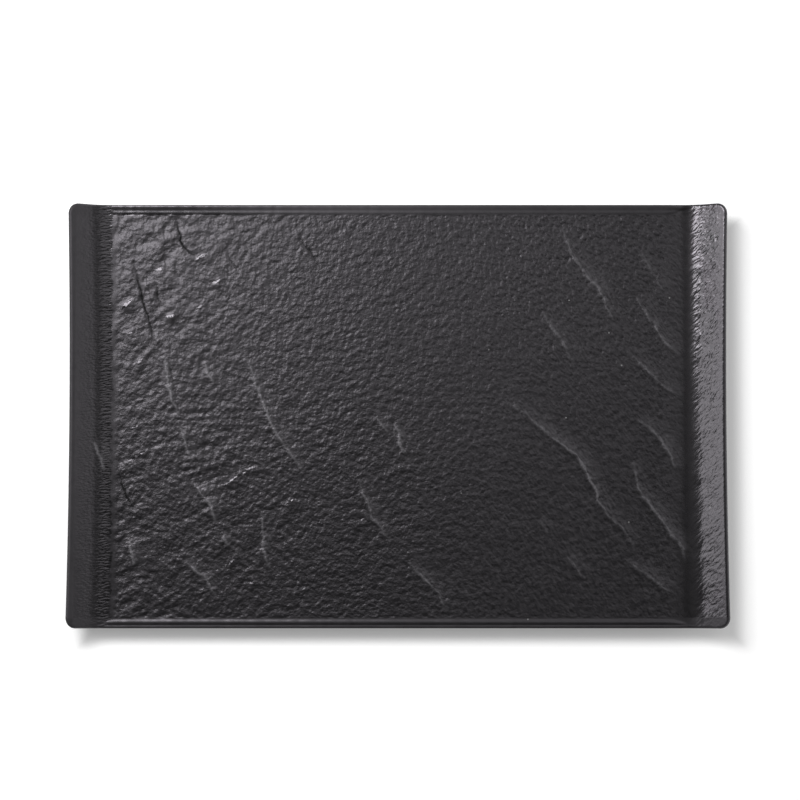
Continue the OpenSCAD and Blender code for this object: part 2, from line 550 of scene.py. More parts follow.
@dataclass(frozen=True)
class SlateRelief:
    """The slate-like relief of the serving face, in millimetres.

    The left of the plate is coarse and lumpy, the middle finer, and the right nearly smooth with
    long slanting veins. A sway is the length of its waves and its reach, and other pairs are where
    a value starts and ends. Each crack, ridge or vein is its height and the points of its line.
    """

    lump_turn: float = math.radians(45.0)
    lump_sway: Pair = (9.0, 1.6)
    crease_sway: Pair = (5.0, 0.4)
    patch_size: float = 22.0
    patch_mean: float = 0.75
    patch_swing: float = 0.6
    patch_limits: Pair = (0.25, 1.2)
    coarse_fade: Pair = (-112.0, -5.0)
    pebble_fade: Pair = (-60.0, 90.0)
    broad_size: float = 6.0
    broad_stretch: float = 1.3
    broad_height: float = 0.05
    ledge_count: float = 2.2
    ledge_height: float = 0.09
    ledge_step: Pair = (0.3, 0.7)
    pebble_size: float = 2.8
    pebble_height: float = 0.060
    smooth_height: float = 0.006
    height_limits: Pair = (-0.42, 0.45)
    trace_limit: float = 9.0
    trace_fade: Pair = (4.0, 7.5)
    cracks: tuple[tuple[float, Line], ...] = (
        (-0.30, ((-113, 67), (-110, 55), (-109.5, 51), (-107, 43), (-105, 37), (-103, 30))),
        (-0.16, ((-97.5, 25), (-96.2, 16), (-93.5, 8))),
        (-0.32, ((-94.5, 84), (-93, 75), (-89, 69), (-86, 67.5))),
        (-0.20, ((-72.5, 70), (-71, 65.5), (-67.5, 61.5))),
        (-0.22, ((-42, 78), (-40, 72.5), (-37, 70), (-33, 63))),
        (-0.30, ((-118.5, -24), (-115, -35), (-112, -41))),
        (-0.24, ((-103.5, 57.3), (-102, 50), (-100.9, 45.1))),
    )
    ridges: tuple[tuple[float, Line], ...] = (
        (0.16, ((-86.5, 66.5), (-81, 69.5))),
        (0.18, ((-119, 44.8), (-112.5, 50))),
        (0.16, ((-99.5, 41.7), (-93.5, 43))),
        (0.14, ((-79.5, 55.7), (-74.5, 58.5))),
        (0.12, ((-104, 61.8), (-99.5, 63.3))),
        (0.10, ((-87, 44), (-82, 47.5))),
        (0.10, ((-116, 33.5), (-112, 36.5))),
        (0.11, ((-81, -33), (-69, -27), (-57, -19))),
        (0.11, ((-116, -20), (-105, -15))),
        (0.09, ((-79, -68), (-65, -59))),
        (0.09, ((-25, -15), (-19, -10))),
        (0.09, ((-4, -23), (6, -21.5))),
        (0.08, ((-23, -49), (-12, -43))),
        (0.09, ((-65.6, -72), (-59.7, -69.9))),
        (0.09, ((-84.7, -74.6), (-80.4, -72.8))),
        (0.10, ((-49.3, -38), (-41.5, -35.4))),
        (0.11, ((-113, 21), (-107, 24.5))),
        (0.10, ((-115, -7), (-109, -3.5))),
    )
    veins: tuple[tuple[float, Line], ...] = (
        (0.24, ((-93.2, 0.4), (-96.6, 6.8), (-98.3, 15.3), (-99.5, 27.3))),
        (0.22, ((-78.3, 13.2), (-81.0, 17.5), (-82.6, 22.6))),
        (0.16, ((-54.5, -64.8), (-57, -58), (-58, -40.5))),
        (0.14, ((-72, -55.4), (-74.5, -51))),
        (0.14, ((-88, -20), (-91, -10), (-93, -3))),
        (0.22, ((-40, -24), (-47, -14), (-53, -6), (-60, 12), (-64, 24))),
        (0.22, ((-78, -46), (-79.5, -38), (-87, -29))),
        (0.18, ((-77, -77), (-81, -69.5), (-92, -61))),
        (0.24, ((-112, -64), (-114.5, -51))),
        (0.24, ((-124.5, -24), (-127, -17), (-129, -11))),
        (0.22, ((4, -16.5), (1.5, -14.5), (-1, -3.5))),
        (0.14, ((-4, -7), (-10, -0.5))),
        (0.16, ((-2.5, -54), (-10.5, -44), (-17, -27))),
        (0.16, ((21, -83), (16, -74), (4, -62))),
        (0.20, ((92, 40), (85, 55), (80, 60), (74, 70), (70, 80.5))),
        (0.14, ((75, 22), (69, 33), (65.5, 38), (61.5, 44))),
        (0.18, ((120, 25), (115, 30), (110, 37.5), (105, 45), (102, 51))),
        (0.10, ((114, 52), (110, 59), (103, 70))),
        (0.22, ((101, -58), (97, -50.5), (94, -46.5), (90.5, -43.5), (84.5, -36.5), (84.5, -33),
                (80.5, -25), (77.5, -19), (72, -14), (61, -5.5), (56, -0.5), (45, 6.5))),
        (0.20, ((118.5, -24), (115, -15.5), (111, -9), (101.5, -1))),
        (0.22, ((121.5, -63), (121, -56.5), (116, -51), (110.5, -42.5), (102, -31.5), (100, -19))),
        (0.18, ((116.5, -76), (105.5, -67.5), (97, -62))),
        (0.14, ((79.5, -69.5), (75.5, -64.5), (70.5, -58))),
        (0.10, ((64.5, -50.5), (59.5, -45))),
        (0.16, ((120, 7.5), (114, 12), (108.6, 16.6), (97.6, 27.7))),
    )

    def creases(self) -> list[Crease]:
        """All the creases, kind by kind."""
        groups = zip(CreaseKind, (self.cracks, self.ridges, self.veins))
        return [Crease(kind, height, points) for kind, lines in groups for height, points in lines]

    @staticmethod
    def sway(x: Points, y: Points, size: float, reach: float) -> tuple[Points, Points]:
        """Moves points this way and that by up to a reach, in waves of a size."""
        moves = [SlateNoise(seed)(x / size, y / size) for seed in (Seed.SWAY_ALONG, Seed.SWAY_ACROSS)]
        return x + reach * moves[0], y + reach * moves[1]

    @staticmethod
    def layer(seed: Seed, x: Points, y: Points, size: float, stretch: float, turn: float) -> Points:
        """One layer of lumps.

        Args:
            seed: The number that the layer's noise starts from.
            x: Places along the plate.
            y: Places across the plate.
            size: Width of a lump.
            stretch: Length of a lump, as a multiple of its width.
            turn: The way the lumps run, as an angle from +X.

        Returns:
            Values of about -1 to 1.
        """
        along = x * math.cos(turn) + y * math.sin(turn)
        across = y * math.cos(turn) - x * math.sin(turn)
        return SlateNoise(seed)(along / (size * stretch), across / size)

    def height(self, x: Points, y: Points) -> Points:
        """Height of the relief over the level floor.

        Args:
            x: Places along the plate, in millimetres.
            y: Places across the plate, in millimetres.

        Returns:
            One height for each point, in millimetres.
        """
        warped = self.sway(x, y, *self.lump_sway)
        patch = self.layer(Seed.PATCHES, x, y, self.patch_size, 1.0, 0.0)
        patch = np.clip(self.patch_mean + self.patch_swing * patch, *self.patch_limits)
        left = 1.0 - smooth(*self.coarse_fade, x)
        middle = 1.0 - smooth(*self.pebble_fade, x)
        broad = self.layer(Seed.BROAD_LUMPS, *warped, self.broad_size, self.broad_stretch, self.lump_turn)
        pebbles = self.layer(Seed.PEBBLES, *warped, self.pebble_size, 1.0, self.lump_turn)
        ledges = self.ledge_height * self.ledges(self.ledge_count * broad)
        relief = left * patch * (ledges + self.broad_height * broad)
        relief = relief + (self.smooth_height + self.pebble_height * middle * patch) * pebbles
        wander = self.sway(x, y, *self.crease_sway)
        for crease in self.creases():
            relief = relief + crease.lift(*wander)
        return np.clip(relief, *self.height_limits)

    def ledges(self, level: Points) -> Points:
        """Turns a smooth level into flat ledges with short steep steps between them."""
        step = np.floor(level)
        return step + smooth(*self.ledge_step, level - step)

    def nearest(self, kind: CreaseKind, x: Points, y: Points) -> tuple[Points, Points]:
        """Finds the nearest crease of a kind.

        Args:
            kind: The kind of crease.
            x: Places along the plate, in millimetres.
            y: Places across the plate, in millimetres.

        Returns:
            The distances from it, below 0 on its steep side, and its strength.
        """
        wander = self.sway(x, y, *self.crease_sway)
        offset = np.full(x.shape, np.inf)
        strength = np.zeros_like(x)
        _, _, full_height = kind.value
        for crease in self.creases():
            if crease.kind is kind:
                this_offset, this_strength = crease.trace(*wander)
                closer = np.abs(this_offset) < np.abs(offset)
                offset = np.where(closer, this_offset, offset)
                strength = np.where(closer, this_strength * abs(crease.height) / full_height, strength)
        fade = 1.0 - smooth(*self.trace_fade, np.abs(offset))
        return np.clip(offset, -self.trace_limit, self.trace_limit), strength * fade


@dataclass(frozen=True)
class ServingFace:
    """The glaze over the serving face, lips, rims and edges, with its slate-like relief.

    Sizes of the mesh are in metres, and sizes and places of the relief are in millimetres. A grain
    is its width and how many times longer it is.
    """

    shape: PlateShape
    relief: SlateRelief
    coarse_step: float = 0.66 * MM
    smooth_step: float = 1.30 * MM
    cross_step: float = 0.75 * MM
    lip_step: float = 0.30 * MM
    split: float = -10.0 * MM
    edge_turns: int = 6
    sharp_angle: float = 60.0
    rim_bluntness: float = 3.4
    added_bluntness: float = 1.6
    bead_length: float = 2.6 * MM
    bead_swing: float = 0.25
    bead_apart: float = 7.3
    backing_inset: float = 4.2 * MM
    backing_run: float = 4.0 * MM
    lip_fade: Pair = (-1.0 * MM, 0.8 * MM)
    floor_start: float = -122.3
    start_sway: float = 0.9
    start_waves: Pair = (5.0, 2.2)
    start_fade: float = 2.5
    floor_end: Pair = (119.0, 131.0)
    lip_relief: float = 0.10
    left_relief: float = 0.05
    right_relief: float = 0.08
    wrinkle_turn: float = math.radians(38.0)
    wrinkle_rise: Pair = (123.5, 129.0)
    wrinkle_fall: Pair = (129.0, 138.0)
    wrinkle_grain: Pair = (1.5, 3.0)
    wrinkle_height: float = 0.03
    swell_grain: Pair = (6.0, 1.2)
    swell_height: float = 0.12

    def edge_insets(self) -> Points:
        """Distances in from the edge through its rounding."""
        return self.shape.edge_radius * (1.0 - np.cos(quarter_turn(self.edge_turns)))

    def stations_along(self) -> Points:
        """Finds the grid's lines along the face, closer together on the coarse left.

        Returns:
            Their places, from end to end.
        """
        half = self.shape.path_half
        edge = self.edge_insets()
        inner = half - self.shape.edge_radius
        left_count = round((self.split + inner) / self.coarse_step)
        right_count = round((inner - self.split) / self.smooth_step)
        left = np.linspace(-inner, self.split, left_count + 1)
        right = np.linspace(self.split, inner, right_count + 1)
        return np.concatenate([edge[:-1] - half, left, right[1:], half - edge[-2::-1]])

    def stations_across(self) -> Points:
        """Finds the grid's lines across the face, closer together over the lips.

        Returns:
            Their places, from the near edge to the far one.
        """
        half = self.shape.half_depth
        edge = self.edge_insets()
        lip_run = self.shape.lip_foot - self.shape.edge_radius
        lip = np.linspace(self.shape.edge_radius, self.shape.lip_foot, round(lip_run / self.lip_step) + 1)
        border = np.concatenate([edge, lip[1:]])
        inner = half - self.shape.lip_foot
        floor = np.linspace(-inner, inner, round(2.0 * inner / self.cross_step) + 1)
        return np.concatenate([border - half, floor[1:-1], half - border[::-1]])

    def relief_share(self, x: Points, y: Points, inset_y: Points) -> Points:
        """Share of the relief that shows at each point.

        Args:
            x: Places along the plate, in millimetres.
            y: Places across the plate, in millimetres.
            inset_y: Distances in from the long edges.

        Returns:
            1 on the floor, and less on the lips and up the ends.
        """
        lip = self.shape.lip_foot
        floor = smooth(lip + self.lip_fade[0], lip + self.lip_fade[1], inset_y)
        wave_x, wave_y = self.start_waves
        start = self.floor_start + self.start_sway * SlateNoise(Seed.FLOOR_START)(x / wave_x, y / wave_y)
        left = smooth(0.0, self.start_fade, x - start)
        right = 1.0 - smooth(*self.floor_end, x)
        shares = ((self.lip_relief, floor), (self.left_relief, left), (self.right_relief, right))
        return math.prod(least + (1.0 - least) * share for least, share in shares)

    def end_wrinkles(self, x: Points, y: Points) -> Points:
        """Draws the slanting wrinkles in the right-hand bend.

        Args:
            x: Places along the plate, in millimetres.
            y: Places across the plate, in millimetres.

        Returns:
            Their height at each point, in millimetres.
        """
        fine = self.relief.layer(Seed.WRINKLES, x, y, *self.wrinkle_grain, self.wrinkle_turn)
        broad = self.relief.layer(Seed.SWELLS, x, y, *self.swell_grain, self.wrinkle_turn)
        bend = smooth(*self.wrinkle_rise, x) * (1.0 - smooth(*self.wrinkle_fall, x))
        return bend * (self.wrinkle_height * fine + self.swell_height * broad)

    def surface(self, s: Points, y: Points) -> Points:
        """Places the points of the flat grid on the finished face.

        Args:
            s: Distances along the face.
            y: Places across the plate.

        Returns:
            One row of three coordinates for each point.
        """
        shape = self.shape
        inset_y = shape.half_depth - np.abs(y)
        inset = np.minimum(shape.path_half - np.abs(s), inset_y)
        short = np.clip(1.0 - inset / shape.edge_radius, 0.0, 1.0)
        bluntness = self.rim_bluntness + self.added_bluntness * shape.lip_share(s)
        rounding = shape.edge_radius * (1.0 - (1.0 - short**bluntness) ** (1.0 / bluntness))
        round_s, round_y = shape.round_corners(s, y, shape.path_half, shape.half_depth, shape.corner_radius)
        beads = SlateNoise(Seed.LIP_BEADS)(s / self.bead_length, np.sign(y) * self.bead_apart)
        lift = shape.lip_lift(s, y, inset) * (1.0 + self.bead_swing * beads)
        flat = shape.fold(round_s, round_y, np.zeros_like(s)) / MM
        flat_x, flat_y = flat[:, 0], flat[:, 1]
        height = self.relief.height(flat_x, flat_y) * self.relief_share(flat_x, flat_y, inset_y)
        height = (height + self.end_wrinkles(flat_x, flat_y)) * smooth(0.0, shape.edge_radius, inset)
        return shape.fold(round_s, round_y, rounding - lift - height * MM)

    def write_creases(self, piece: bpy.types.Object) -> None:
        """Keeps the distance and strength of the nearest crease of each kind, for the finish to read.

        Args:
            piece: The modelled face.
        """
        places = Bench.coordinates(piece).astype(float) / MM
        for kind in CreaseKind:
            for name, values in zip(kind.attributes, self.relief.nearest(kind, places[:, 0], places[:, 1])):
                attribute = piece.data.attributes.new(name, "FLOAT", "POINT")
                attribute.data.foreach_set("value", values.astype(np.float32))

    def backing_rings(self, s: Points, y: Points) -> list[Points]:
        """Rings of the glaze's inner side, from the edge in to the floor.

        Args:
            s: Distances along the face of the edge's points.
            y: Places across the plate of the edge's points.

        Returns:
            The places of each ring's points.
        """
        shape = self.shape
        start = self.backing_inset
        reach = shape.end_reach - start
        insets = [(inset, inset) for inset in (shape.glaze, shape.edge_radius, start)]
        insets += [(start + reach * share, start + self.backing_run * share) for share in (0.5, 1.0)]
        rings = []
        for inset_s, inset_y in insets:
            half_s = shape.path_half - inset_s
            half_y = shape.half_depth - inset_y
            radius = max(shape.corner_radius - inset_y, shape.inner_corner)
            ring_s, ring_y = shape.round_corners(
                s * half_s / shape.path_half, y * half_y / shape.half_depth, half_s, half_y, radius
            )
            depth = np.full_like(ring_s, shape.glaze)
            if inset_y <= shape.glaze:
                depth = shape.edge_depth(ring_s, ring_y)
            rings.append(shape.fold(ring_s, ring_y, depth))
        return rings

    def build(self) -> bpy.types.Object:
        """Models the glaze as one closed skin.

        Returns:
            The finished mesh object.
        """
        along = self.stations_along()
        across = self.stations_across()
        Bench.clear_selection()
        bpy.ops.mesh.primitive_grid_add(
            x_subdivisions=len(along) - 1, y_subdivisions=len(across) - 1, size=2.0
        )
        piece = Bench.name_new("serving_face")
        blank = Bench.coordinates(piece)
        columns, rows = (
            np.rint((blank[:, axis] + 1.0) / 2.0 * (len(stations) - 1)).astype(int)
            for axis, stations in enumerate((along, across))
        )
        s = along[columns]
        y = across[rows]
        Bench.move_points(piece, self.surface(s, y))
        on_edge = (columns == 0) | (columns == len(along) - 1) | (rows == 0) | (rows == len(across) - 1)
        edge = np.flatnonzero(on_edge)
        turn = np.arctan2(y[edge] / self.shape.half_depth, s[edge] / self.shape.path_half)
        ring = [int(index) for index in edge[np.argsort(turn)]]
        for places in self.backing_rings(s[ring], y[ring]):
            ring = Bench.pull_ring(piece, ring, places)
        Bench.cap_ring(piece, ring)
        Bench.finish_skin(piece, self.sharp_angle)
        self.write_creases(piece)
        return piece

    def dress(self, piece: bpy.types.Object, glaze: "Finish") -> None:
        """Gives the modelled face its glaze and its node's place."""
        attach(piece, glaze.build(), "serving_face_glaze")


@dataclass(frozen=True)
class RoundedRing:
    """A rounded rectangle as one ring of points, closer together at its ends."""

    corner_count: int = 8
    rim_count: int = 14
    end_count: int = 20
    middle_count: int = 10

    def points(self, shape: PlateShape, half_s: float, half_y: float, radius: float) -> tuple[Points, Points]:
        """Draws the ring, anticlockwise from above.

        Args:
            shape: The plate, whose bends set where the points lie close together.
            half_s: Half the ring's length.
            half_y: Half the ring's width.
            radius: The corners' radius.

        Returns:
            The points' distances along and across.
        """
        inner_s, inner_y = half_s - radius, half_y - radius
        reach = shape.path_half - shape.corner_radius
        ends = 1.0 - (1.0 - shape.flat_half / reach) * np.linspace(0.0, 1.0, self.end_count + 1)
        middle = np.linspace(ends[-1], -ends[-1], self.middle_count + 2)[1:-1]
        side = np.concatenate([ends, middle, -ends[::-1]])
        rim = np.linspace(-1.0, 1.0, 2 * self.rim_count + 1)
        turns = quarter_turn(self.corner_count)[1:-1]
        s: list[Points] = []
        y: list[Points] = []
        for quarter, (sign_s, sign_y) in enumerate(((1, 1), (-1, 1), (-1, -1), (1, -1))):
            if quarter % 2 == 0:
                s.append(np.full_like(rim, sign_s * half_s))
                y.append(sign_s * inner_y * rim)
            else:
                s.append(-sign_s * inner_s * side)
                y.append(np.full_like(side, sign_y * half_y))
            start = quarter * math.pi / 2.0
            s.append(sign_s * inner_s + radius * np.cos(start + turns))
            y.append(sign_y * inner_y + radius * np.sin(start + turns))
        return np.concatenate(s), np.concatenate(y)


@dataclass(frozen=True)
class PlateBack:
    """What shows under the plate: the glaze outside the foot, the glaze inside it, and the bare foot."""

    shape: PlateShape
    foot_half_x: float
    foot_half_y: float
    ring: RoundedRing = RoundedRing()
    under_turns: int = 10
    upper_turns: int = 4
    foot_turns: int = 4
    inner_steps: int = 12
    upper_inset: float = 4.2 * MM
    side_band: float = 5.0 * MM
    foot_round: float = 0.8 * MM
    sharp_angle: float = 50.0
    panel_sharp_angle: float = 30.0

    def outline(self, inset: float, side_inset: float) -> tuple[Points, Points]:
        """Draws the outline of the face as a ring.

        Args:
            inset: Distance in from the rims.
            side_inset: Distance in from the long edges.

        Returns:
            The points' distances along and across.
        """
        shape = self.shape
        radius = max(shape.corner_radius - side_inset, shape.inner_corner)
        return self.ring.points(shape, shape.path_half - inset, shape.half_depth - side_inset, radius)

    def inner_insets(self, start: float) -> list[Pair]:
        """Insets of the rings between the edge and the level floor."""
        shares = np.linspace(0.0, 1.0, self.inner_steps + 1)[1:]
        return [(start + (self.shape.end_reach - start) * k, start + self.side_band * k) for k in shares]

    def under_rings(self, skin: float) -> list[Points]:
        """Rings of the underside, from the edge in to the level part.

        Args:
            skin: Depth of the rings inside the finished underside.

        Returns:
            The places of each ring's points.
        """
        shape = self.shape
        rings = []
        for turn in quarter_turn(self.under_turns):
            inset = shape.under_round - (shape.under_round - skin) * math.cos(turn)
            s, y = self.outline(inset, inset)
            edge = shape.edge_depth(s, y)
            rings.append(shape.fold(s, y, edge + (shape.thickness(s) - skin - edge) * math.sin(turn)))
        for inset, side_inset in self.inner_insets(shape.under_round):
            s, y = self.outline(inset, side_inset)
            rings.append(shape.fold(s, y, shape.thickness(s) - skin))
        return rings

    def upper_rings(self, skin: float) -> list[Points]:
        """Rings of the body's upper side, from the floor out to the edge.

        Args:
            skin: Depth of the rings under the finished face.

        Returns:
            The places of each ring's points.
        """
        shape = self.shape
        rings = []
        for turn in quarter_turn(self.upper_turns):
            inset = shape.edge_radius - (shape.edge_radius - skin) * math.cos(turn)
            s, y = self.outline(inset, inset)
            drop = (shape.edge_radius - skin) * math.sin(turn)
            rings.append(shape.fold(s, y, shape.edge_depth(s, y) - drop))
        start = self.upper_inset
        for inset, side_inset in [(start, start)] + self.inner_insets(start):
            s, y = self.outline(inset, side_inset)
            rings.append(shape.fold(s, y, np.full_like(s, skin)))
        return rings[::-1]

    def foot_ring(self, inset: float, z: float) -> Points:
        """Draws the foot's outline as a ring.

        Args:
            inset: Distance in from the foot's outer face.
            z: The ring's height.

        Returns:
            The places of the ring's points.
        """
        radius = self.shape.foot_corner - inset
        x, y = self.ring.points(self.shape, self.foot_half_x - inset, self.foot_half_y - inset, radius)
        return np.stack([x, y, np.full_like(x, z)], axis=-1)

    def build_border(self) -> bpy.types.Object:
        """Models the glaze outside the foot.

        Returns:
            The finished mesh object.
        """
        shape = self.shape
        inner = [self.foot_ring(0.0, shape.foot_height + shape.glaze)]
        inner += self.under_rings(shape.glaze)[::-1]
        outer = self.under_rings(0.0) + [self.foot_ring(0.0, shape.foot_height)]
        return Bench.loft("underside_border", inner + outer, Ending.JOINED, self.sharp_angle)

    def build_panel(self) -> bpy.types.Object:
        """Models the glaze inside the foot.

        Returns:
            The finished mesh object.
        """
        shape = self.shape
        heights = (shape.foot_height + shape.glaze, shape.foot_height)
        rings = [self.foot_ring(shape.foot_width, z) for z in heights]
        return Bench.loft("underside_panel", rings, Ending.CAPPED, self.panel_sharp_angle)

    def build_body(self) -> bpy.types.Object:
        """Models the fired body with its bare foot, whose edges are rounded.

        Returns:
            The finished mesh object.
        """
        shape = self.shape
        root = shape.foot_height + shape.glaze
        size = self.foot_round
        turns = quarter_turn(self.foot_turns)
        outer_edge = [(size * (1 - math.cos(turn)), size * (1 - math.sin(turn))) for turn in turns]
        inner_edge = [(shape.foot_width - inset, z) for inset, z in outer_edge[::-1]]
        foot = [self.foot_ring(inset, z) for inset, z in outer_edge + inner_edge]
        rings = self.upper_rings(shape.glaze) + self.under_rings(shape.glaze)
        rings += [self.foot_ring(0.0, root)] + foot + [self.foot_ring(shape.foot_width, root)]
        return Bench.loft("fired_body", rings, Ending.CAPPED, self.sharp_angle)

    def build(self) -> list[bpy.types.Object]:
        """Models the border's glaze, the panel's glaze and the fired body, in this order."""
        return [self.build_border(), self.build_panel(), self.build_body()]

    def dress(self, pieces: Sequence[bpy.types.Object], glaze: "Finish", bare: "Finish") -> None:
        """Gives the modelled pieces their finishes and their nodes' places.

        Args:
            pieces: The pieces, in the order that they were built.
            glaze: The finish of the border and the panel.
            bare: The finish of the fired body.
        """
        border, panel, body = pieces
        glazed = glaze.build()
        attach(border, glazed, "underside_border_glaze")
        attach(panel, glazed, "underside_panel_glaze")
        attach(body, bare.build(), "ceramic_body")


class Value:
    """A shader value that Python's operators combine."""

    def __init__(self, sheet: "NodeSheet", socket: bpy.types.NodeSocket) -> None:
        """Wraps a socket of a node sheet."""
        self.sheet = sheet
        self.socket = socket

    def math(self, operation: str, *others: "Value | float") -> "Value":
        """Adds a Math node that takes this value first."""
        return self.sheet.add("ShaderNodeMath", {"operation": operation}, dict(enumerate((self, *others))))

    def __add__(self, other: "Value | float") -> "Value":
        """Sum."""
        return self.math("ADD", other)

    __radd__ = __add__

    def __sub__(self, other: "Value | float") -> "Value":
        """Difference."""
        return self.math("SUBTRACT", other)

    def __rsub__(self, other: float) -> "Value":
        """Difference from a number."""
        return -self + other

    def __neg__(self) -> "Value":
        """Negative."""
        return self * -1.0

    def __mul__(self, other: "Value | float") -> "Value":
        """Product."""
        return self.math("MULTIPLY", other)

    __rmul__ = __mul__

    def smooth(self, low: float, high: float) -> "Value":
        """Rises smoothly from 0 at the first value to 1 at the second."""
        settings = {"interpolation_type": "SMOOTHSTEP"}
        return self.sheet.add("ShaderNodeMapRange", settings, {0: self, 1: low, 2: high})

    def smooth_mm(self, low: float, high: float) -> "Value":
        """Rises smoothly from 0 at the first place to 1 at the second, both in millimetres."""
        return self.smooth(low * MM, high * MM)

    def band(self, rise: Pair, fall: Pair) -> "Value":
        """Rises from 0 to 1 between the first two places and falls between the others, in millimetres."""
        return self.smooth_mm(*rise) * (1.0 - self.smooth_mm(*fall))


class NodeSheet:
    """The nodes of one finish, floor or sky."""

    def __init__(self, tree: bpy.types.NodeTree) -> None:
        """Empties the node tree of a material or a world and starts on it."""
        self.tree = tree
        tree.nodes.clear()

    @classmethod
    def of_material(cls, name: str) -> tuple[bpy.types.Material, "NodeSheet"]:
        """Starts a new material.

        Args:
            name: The material's name.

        Returns:
            The material and its empty node sheet.
        """
        material = bpy.data.materials.new(name)
        material.use_nodes = True
        return material, cls(material.node_tree)

    def add(
        self,
        kind: str,
        settings: dict[str, Any] | None = None,
        inputs: dict[int | str, Any] | None = None,
        output: int | str = 0,
    ) -> Value:
        """Adds a node.

        Args:
            kind: The node's type.
            settings: The node's own settings, which are set first.
            inputs: The values or links of its sockets, by name or place.
            output: The output that is returned.

        Returns:
            The chosen output, or the node's first input where it has no output.
        """
        node = self.tree.nodes.new(kind)
        for name, value in (settings or {}).items():
            if name == "stops":
                self.set_stops(node.color_ramp, value)
            else:
                setattr(node, name, value)
        for key, value in (inputs or {}).items():
            if isinstance(value, Value):
                self.tree.links.new(value.socket, node.inputs[key])
            else:
                node.inputs[key].default_value = value
        return Value(self, node.outputs[output] if node.outputs else node.inputs[0])

    @staticmethod
    def set_stops(ramp: bpy.types.ColorRamp, stops: Sequence[tuple[float, Colour]]) -> None:
        """Sets the stops of a colour ramp.

        Args:
            ramp: The ramp.
            stops: The place and colour of each stop, in order.
        """
        while len(ramp.elements) < len(stops):
            ramp.elements.new(0.5)
        for element, (place, colour) in zip(ramp.elements, stops):
            element.position = place
            element.color = (*colour, 1.0)

    def object_places(self) -> Value:
        """Places on the piece, in metres."""
        return self.add("ShaderNodeTexCoord", output="Object")

    def axes(self, places: Value) -> list[Value]:
        """Splits places into their three coordinates."""
        split = self.add("ShaderNodeSeparateXYZ", {}, {0: places})
        return [Value(self, socket) for socket in split.socket.node.outputs]

    def noise(self, places: Value, size: float, detail: float = 2.0, roughness: float = 0.5) -> Value:
        """Noise of about -1 to 1, whose grains have a size in metres and finer layers by its detail."""
        inputs = {"Vector": places, "Scale": 1.0 / size, "Detail": detail, "Roughness": roughness}
        return self.add("ShaderNodeTexNoise", {}, inputs) * 2.0 - 1.0

    def strands(self, places: Value, turn: float, stretch: float, size: float, detail: float) -> Value:
        """Noise of about -1 to 1 whose grains run one way.

        Args:
            places: Where the noise is read, in metres.
            turn: The way that the grains run, as an angle from +X in degrees.
            stretch: How many times longer the grains are than wide.
            size: The width of the grains, in metres.
            detail: How many finer layers it has.

        Returns:
            The noise's value.
        """
        inputs = {"Vector": places, "Rotation": (0.0, 0.0, math.radians(turn)), "Scale": (stretch, 1.0, 1.0)}
        slanted = self.add("ShaderNodeMapping", {"vector_type": "TEXTURE"}, inputs)
        return self.noise(slanted, size, detail)

    def mix_colour(self, share: Value, first: "Value | Colour", second: Colour) -> Value:
        """Mixes two colours.

        Args:
            share: How much of the second colour there is.
            first: The first colour.
            second: The second colour.

        Returns:
            The mixed colour.
        """
        start = first if isinstance(first, Value) else (*first, 1.0)
        inputs = {0: share, 6: start, 7: (*second, 1.0)}
        return self.add("ShaderNodeMix", {"data_type": "RGBA"}, inputs, output=2)

    def principled(
        self, colour: Value, roughness: Value, height: Value, constants: dict[str, Any]
    ) -> Value:
        """Shader of a surface with a fine relief.

        Args:
            colour: The surface's colour.
            roughness: Its roughness.
            height: The height of its fine relief, in millimetres.
            constants: The shader's other values, by socket.

        Returns:
            The shader.
        """
        bump = self.add("ShaderNodeBump", {}, {"Strength": 1.0, "Distance": MM, "Height": height})
        inputs = {"Base Color": colour, "Roughness": roughness, "Normal": bump, **constants}
        return self.add("ShaderNodeBsdfPrincipled", {}, inputs)


